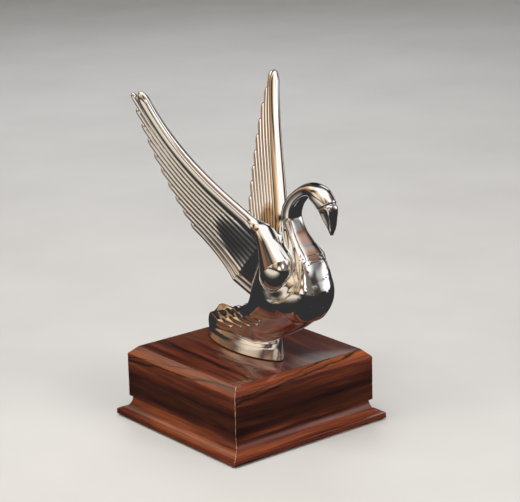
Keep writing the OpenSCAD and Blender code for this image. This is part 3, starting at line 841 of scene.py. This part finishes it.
class ORNAMENT_OT_plinth(bpy.types.Operator):
    """The four mitred mouldings and the top board, wrapped in rosewood-look foil"""

    bl_idname = "ornament.plinth"
    bl_label = "Plinth"

    def execute(self, context):
        s = context.scene.plinth
        low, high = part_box("front_moulding")
        board_low, board_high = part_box("top_board")
        skirt, inner, seam, board_base = -low.y, -high.y, board_high.x, board_low.z
        half = skirt - s.skirt_out
        cove_base = low.z + s.lip_height
        cove_top = cove_base + s.cove_height
        q = np.linspace(0, math.pi / 2, 25)
        cove_out = skirt - (s.skirt_out + s.quirk) * np.cos(q)
        cove = np.stack([cove_out, cove_base + s.cove_height * (1 - np.sin(q))], 1)
        bevel_foot = (half, high.z - s.bevel_height)
        behind = [(inner, low.z), (inner, board_base), (seam, board_base), (seam, high.z)]
        behind += [bevel_foot, (half, cove_top)]
        outline = rounded(np.array([*behind, cove[0], cove[-1], (skirt, low.z)]), s.edge_round)
        at = (len(behind) + 1) * (FOLD_STEPS + 1)
        outline = np.concatenate([outline[:at], cove[1:-1], outline[at:]])
        lengths = np.linalg.norm(np.diff(outline, axis=0, append=outline[:1]), axis=1)
        developed = np.concatenate([[0], np.cumsum(lengths)])
        face_end = developed[np.argmin(np.abs(outline - bevel_foot).sum(1))]
        for i, (side, turn) in enumerate((("front", 0), ("right", -90), ("back", 180), ("left", 90))):
            streaks = [(face_end - 0.0012 + 0.0006 * i, -0.1, 0.0009), (face_end - 0.0045, -0.13, 0.0004)]
            material = rosewood_foil("rosewood_foil_" + side, 0.31 + 0.23 * i, SIDE_SHADE_BY_HEIGHT, streaks, 0.0003)
            self.moulding(side + "_moulding", math.radians(turn), outline, developed, material)
        material = rosewood_foil("rosewood_foil_top", 0.77, TOP_TONES, TOP_STREAKS)
        self.board(seam, board_base, board_high.z, material)
        return {"FINISHED"}

    def moulding(self, node, turn, outline, developed, material, columns=9):
        """The outline drawn out along one side and mitred at both ends; the grain runs along it."""
        count = len(outline)
        points = np.array([(share * out, -out, z) for share in np.linspace(-1, 1, columns) for out, z in outline])
        faces, uvs = ring_faces(columns, count), []
        for face in faces:
            i = face[0] % count
            uvs += [(points[k][0], developed[i + far]) for k, far in zip(face, (0, 1, 1, 0))]
        for end in (range(count)[::-1], range((columns - 1) * count, columns * count)):
            faces.append(list(end))
            uvs += [tuple(outline[k % count]) for k in end]
        points = points @ np.array(Matrix.Rotation(turn, 3, "Z")).T
        look = {"uvs": uvs, "flat_below": FOLD_ANGLE}
        new_piece(node + "_foil", points, faces, node, "rosewood_foil", material, **look)

    def board(self, half, low, high, material, edge=0.15 * MM):
        """The square top with its edge eased; the grain runs along y."""
        profile = [(half, low), (half, high - edge), (half - 0.3 * edge, high - 0.3 * edge), (half - edge, high)]
        corners = ((-1, -1), (1, -1), (1, 1), (-1, 1))
        points = [(sx * size, sy * size, z) for size, z in profile for sx, sy in corners]
        faces = [*ring_faces(len(profile), 4), [3, 2, 1, 0], list(range(len(points) - 4, len(points)))]
        uvs = [(points[k][1], points[k][0] + points[k][2]) for face in faces for k in face]
        look = {"uvs": uvs, "flat_below": FOLD_ANGLE}
        new_piece("top_board_foil", points, faces, "top_board", "rosewood_foil", material, **look)


class ORNAMENT_OT_gasket(bpy.types.Operator):
    """Thin rubber gasket squeezed out a little under the foot"""

    bl_idname = "ornament.gasket"
    bl_label = "Foot gasket"

    def execute(self, context):
        low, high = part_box("foot_gasket")
        thick = (high.z - low.z) / MM
        count = 144
        rows = [(-0.35, 0), (-0.05, 0.08), (0.12, thick / 2), (-0.05, thick - 0.08), (-0.35, thick)]
        points = []
        for out, z in rows:
            ring = boat_outline(FOOT_LENGTH + 2 * out, FOOT_WIDTH + 2 * out, FOOT_BACK, count)
            points += [(a, b, z) for a, b in ring]
        last = len(points)
        faces = [*ring_faces(len(rows), count), list(range(count))[::-1], list(range(last - count, last))]
        points = on_plinth(np.array(points), low.z)
        rubber = black_rubber()
        new_piece("foot_gasket_rubber", points, faces, "foot_gasket", "rubber", rubber, flat_below=FOLD_ANGLE)
        return {"FINISHED"}


class ORNAMENT_OT_fixings(bpy.types.Operator):
    """Finishes for the studs, washers, nuts, dowels, screws, glue blocks and bottom panel"""

    bl_idname = "ornament.fixings"
    bl_label = "Fixings and inner wood"

    def execute(self, context):
        pine = sawn_wood("pine_sawn", 0.0025, "#B98C58", "#D9B483", 0.2)
        hardboard = sawn_wood("hardboard_pressed", 0.0012, "#5C3F29", "#7A573A", 0.6)
        steel = ("mounting_studs", "stud_washers", "lock_washers", "stud_nuts", "wing_dowels", "panel_screws")
        finishes = {zinc_steel(): steel, pine: ("corner_blocks",), hardboard: ("bottom_panel",)}
        for material, names in finishes.items():
            for name in names:
                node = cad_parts[name]
                node.data.materials.clear()
                node.data.materials.append(material)
        return {"FINISHED"}


class ORNAMENT_OT_felt(bpy.types.Operator):
    """Felt stuck under the plinth, with a soft uneven edge"""

    bl_idname = "ornament.felt"
    bl_label = "Felt pad"

    def execute(self, context):
        low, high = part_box("felt_pad")
        side = 61
        fuzz = np.random.default_rng(7).normal(0, 0.05 * MM, (side, side, 2))
        fuzz[1:-1, 1:-1] *= 0.4
        lines = [np.linspace(low[c], high[c], side) for c in (0, 1)]
        spread = np.clip(np.stack(np.meshgrid(*lines, indexing="ij"), 2) + fuzz, low[:2], high[:2]).reshape(-1, 2)
        points = [(x, y, z) for z in (low.z, high.z) for x, y in spread]
        index = np.arange(side * side).reshape(side, side)
        a, b, c, d = (i.ravel() for i in (index[:-1, :-1], index[1:, :-1], index[1:, 1:], index[:-1, 1:]))
        rim = np.concatenate([index[:-1, 0], index[-1, :-1], index[:0:-1, -1], index[0, :0:-1]])
        after, up = np.roll(rim, -1), side * side
        walls = np.stack([rim, after, up + after, up + rim], 1)
        faces = np.concatenate([np.stack([a, d, c, b], 1), np.stack([a, b, c, d], 1) + up, walls])
        piece = new_piece("felt_pad_cloth", points, faces, "felt_pad", "felt", wool_felt(), flat_below=0)
        return {"FINISHED"}


class ORNAMENT_OT_stage(bpy.types.Operator):
    """Pale floor, soft studio lights, the tent that the chrome reflects, and the camera"""

    bl_idname = "ornament.stage"
    bl_label = "Stage"

    def execute(self, context):
        self.floor()
        self.tent()
        self.lights()
        self.camera()
        return {"FINISHED"}

    def floor(self):
        """A wide pale floor that curves up into a wall all round."""
        bend = [(3.2 + 1.2 * math.sin(a), 1.2 - 1.2 * math.cos(a)) for a in np.linspace(0, math.pi / 2, 13)]
        profile = [(0.0, 0.0), (0.6, 0.0), (1.5, 0.0), (3.2, 0.0), *bend[1:], (4.4, 4.0)]
        material, tree, shader = start_material("studio_floor_painted", Roughness=0.8)
        place = add_node(tree, "TexCoord").outputs["Object"]
        mottle = add_node(tree, "TexNoise", {"Vector": place, "Scale": 9.0, "Detail": 3.0})
        tones = ((0.3, "#CFCDC9"), (0.7, "#D6D4D0"))
        tone = add_node(tree, "ValToRGB", {"Fac": mottle}, stops=[(at, linear(code)) for at, code in tones])
        feed(tree, shader, {"Base Color": tone})
        floor = lathe("studio_floor", profile, material)
        floor.visible_glossy = False

    def tent(self):
        """A tent and a ground cloth seen only in reflections."""
        dome = [(0.0, 2.8), (0.9, 2.65), (1.7, 2.2), (2.3, 1.55), (2.7, 0.8), (2.8, 0.0), (2.6, -0.5)]
        disc = [(0.0, 0.0004), (0.35, 0.0004), (2.75, 0.0004)]
        for name, profile, material in (
            ("reflection_tent", dome, tent_light()),
            ("reflection_ground", disc, ground_light()),
        ):
            piece = lathe(name, profile, material)
            for rays in ("camera", "diffuse", "transmission", "shadow"):
                setattr(piece, "visible_" + rays, False)

    def lights(self):
        for name, place, target, size, power, colour in (
            ("soft_overhead", (-0.35, -0.25, 1.25), (0, 0, 0.1), (0.9, 0.7), 11, "#FFFFFF"),
            ("soft_left", (-1.25, 0.15, 0.75), (0, 0, 0.1), (0.35, 0.9), 6, "#FFF4E8"),
            ("soft_front", (0.25, -1.35, 0.75), (0, 0, 0.1), (0.7, 0.5), 9, "#FFF8F0"),
            ("soft_back", (0.6, 0.9, 0.9), (0, 0, 0.12), (0.4, 0.8), 4, "#F4F7FF"),
        ):
            lamp = bpy.data.lights.new(name, "AREA")
            lamp.shape, lamp.size, lamp.size_y, lamp.energy = "RECTANGLE", size[0], size[1], power
            lamp.color = linear(colour)[:3]
            thing = bpy.data.objects.new(name, lamp)
            thing.location = place
            thing.rotation_euler = (Vector(target) - Vector(place)).to_track_quat("-Z", "Y").to_euler()
            thing.visible_glossy = False
            bpy.context.scene.collection.objects.link(thing)
        world = bpy.data.worlds.new("studio_air")
        world.use_nodes = True
        world.node_tree.nodes["Background"].inputs["Color"].default_value = linear("#E8E9EC")
        world.node_tree.nodes["Background"].inputs["Strength"].default_value = 0.42
        bpy.context.scene.world = world
        bpy.context.scene.view_settings.view_transform = "Standard"

    def camera(self):
        """Stands 1.145 m away, turned 38.6 degrees to the swan's right and 16.3 degrees up."""
        azimuth, elevation, roll = (math.radians(a) for a in (-38.631, 16.292, -1.347))
        flat = math.cos(elevation)
        back = Vector((math.sin(azimuth) * flat, -math.cos(azimuth) * flat, math.sin(elevation)))
        right = (-back).cross(Vector((0, 0, 1))).normalized()
        up = right.cross(-back)
        lens = bpy.data.cameras.new("camera")
        lens.lens, lens.sensor_width = 134.06, 36
        lens.clip_start, lens.clip_end = 0.05, 20
        camera = bpy.data.objects.new("camera", lens)
        side = right * math.cos(roll) + up * math.sin(roll)
        top = -right * math.sin(roll) + up * math.cos(roll)
        camera.matrix_world = Matrix((side, top, back)).transposed().to_4x4()
        camera.location = back * 1.145154 + right * 0.007803 + up * 0.097869
        bpy.context.scene.collection.objects.link(camera)
        bpy.context.scene.camera = camera


# Lights of the tent: azimuth and elevation of the middle, angular radius of the bright part and of its soft
# edge, colour, strength
TENT_LIGHTS = (
    (-40, 80, 24, 46, "#FFFFFF", 1.1),
    (-98, 40, 8, 27, "#FFE9CC", 1.0),
    (14, 40, 8, 24, "#FFFFFF", 1.15),
    (-120, 8, 5, 20, "#FFE6C4", 1.0),
    (-88, 14, 4, 14, "#F0C898", 0.7),
    (50, 14, 7, 20, "#FFFFFF", 1.5),
    (-40, 16, 4, 10, "#FFFFFF", 2.0),
    (-66, 2, 6, 14, "#FFEFD8", 1.2),
    (-30, 4, 10, 48, "#E8DCCB", 0.22),
    (48, 56, 6, 20, "#C08552", 0.5),
    (-154, 52, 8, 22, "#FFF4E4", 1.0),
    (-158, 30, 6, 17, "#F0CB9A", 0.9),
    (-172, 8, 5, 16, "#D8A468", 0.6),
    (-35, 33, 6, 15, "#C07F4C", 0.45),
    (-150, 6, 5, 16, "#C89058", 0.45),
    (122, 30, 6, 13, "#FFFFFF", 1.2),
    (100, 12, 5, 16, "#FFF4E8", 0.8),
)
# Light on the ground left of the swan: x, y, radius of the bright part and of its soft edge, colour, strength
GROUND_GLOW = (-0.56, 0.12, 0.2, 0.42, "#FFF2DE", 0.85)


def tent_light():
    """Charcoal cloth in soft folds, with round soft lights sewn into it."""
    material, tree, light = start_material("tent_charcoal_cloth", "Emission", Strength=1.0)
    spot = add_node(tree, "TexCoord").outputs["Object"]
    ray = add_node(tree, "VectorMath", {0: spot}, operation="NORMALIZE")
    folds = add_node(tree, "TexNoise", {"Vector": ray, "Scale": 2.6, "Detail": 2.0, "Distortion": 0.6})
    tones = ((0.3, "#121214"), (0.5, "#34343A"), (0.62, "#4C4038"), (0.75, "#76747A"))
    total = add_node(tree, "ValToRGB", {"Fac": folds}, stops=[(at, linear(code)) for at, code in tones])
    for azimuth, elevation, inner, outer, colour, strength in TENT_LIGHTS:
        a, e = math.radians(azimuth), math.radians(elevation)
        middle = (math.sin(a) * math.cos(e), -math.cos(a) * math.cos(e), math.sin(e))
        near = add_node(tree, "VectorMath", {0: ray, 1: middle}, operation="DOT_PRODUCT").outputs["Value"]
        low, high = (math.cos(math.radians(c)) for c in (outer, inner))
        total = add_glow(tree, total, near, low, high, colour, strength)
    feed(tree, light, {"Color": total})
    return material


def ground_light():
    """Dark cloth round the plinth, with a warm light lying on it to the left."""
    material, tree, light = start_material("ground_grey_cloth", "Emission", Strength=1.0)
    spot = add_node(tree, "TexCoord").outputs["Object"]
    x, y, inner, outer, colour, strength = GROUND_GLOW
    away = add_node(tree, "VectorMath", {0: spot, 1: (x, y, 0)}, operation="DISTANCE").outputs["Value"]
    feed(tree, light, {"Color": add_glow(tree, linear("#343436")[:3], away, outer, inner, colour, strength)})
    return material


def add_glow(tree, base, value, dark_at, bright_at, colour, strength):
    """The base colour with light added that fades out between two values."""
    edge = {"Value": value, "From Min": dark_at, "From Max": bright_at, "To Max": strength}
    amount = add_node(tree, "MapRange", edge, interpolation_type="SMOOTHSTEP")
    light = add_node(tree, "VectorMath", {0: linear(colour)[:3], "Scale": amount}, operation="SCALE")
    return add_node(tree, "VectorMath", {0: base, 1: light}, operation="ADD")


def lathe(name, profile, material, count=64):
    """A stage piece turned round the z axis from a profile of radii and heights."""
    turns = np.linspace(0, 2 * math.pi, count, endpoint=False)
    points = [(radius * math.cos(q), radius * math.sin(q), z) for radius, z in profile for q in turns]
    mesh = bpy.data.meshes.new(name)
    mesh.from_pydata(points, [], [face[::-1] for face in ring_faces(len(profile), count)])
    mesh.polygons.foreach_set("use_smooth", [True] * len(mesh.polygons))
    mesh.materials.append(material)
    piece = bpy.data.objects.new(name, mesh)
    bpy.context.scene.collection.objects.link(piece)
    return piece


class ORNAMENT_PT_panel(bpy.types.Panel):
    """Lists every piece and its sizes"""

    bl_idname = "ORNAMENT_PT_panel"
    bl_label = "Swan hood ornament"
    bl_space_type = "VIEW_3D"
    bl_region_type = "UI"
    bl_category = "Ornament"

    def draw(self, context):
        layout = self.layout
        for settings in (context.scene.swan, context.scene.plinth):
            box = layout.box()
            for name in settings.bl_rna.properties.keys():
                if name not in ("rna_type", "name"):
                    box.prop(settings, name)
        for operator in OPERATORS:
            layout.operator(operator.bl_idname)


OPERATORS = (
    ORNAMENT_OT_stage,
    ORNAMENT_OT_swan_body,
    ORNAMENT_OT_wings,
    ORNAMENT_OT_gasket,
    ORNAMENT_OT_plinth,
    ORNAMENT_OT_fixings,
    ORNAMENT_OT_felt,
)
CLASSES = (SwanSettings, PlinthSettings, *OPERATORS, ORNAMENT_PT_panel)


def register():
    for cls in CLASSES:
        bpy.utils.register_class(cls)
    bpy.types.Scene.swan = PointerProperty(type=SwanSettings)
    bpy.types.Scene.plinth = PointerProperty(type=PlinthSettings)


def unregister():
    del bpy.types.Scene.plinth
    del bpy.types.Scene.swan
    for cls in reversed(CLASSES):
        bpy.utils.unregister_class(cls)


def main():
    register()
    for operator in OPERATORS:
        group, name = operator.bl_idname.split(".")
        getattr(getattr(bpy.ops, group), name)()


if __name__ == "__main__":
    main()
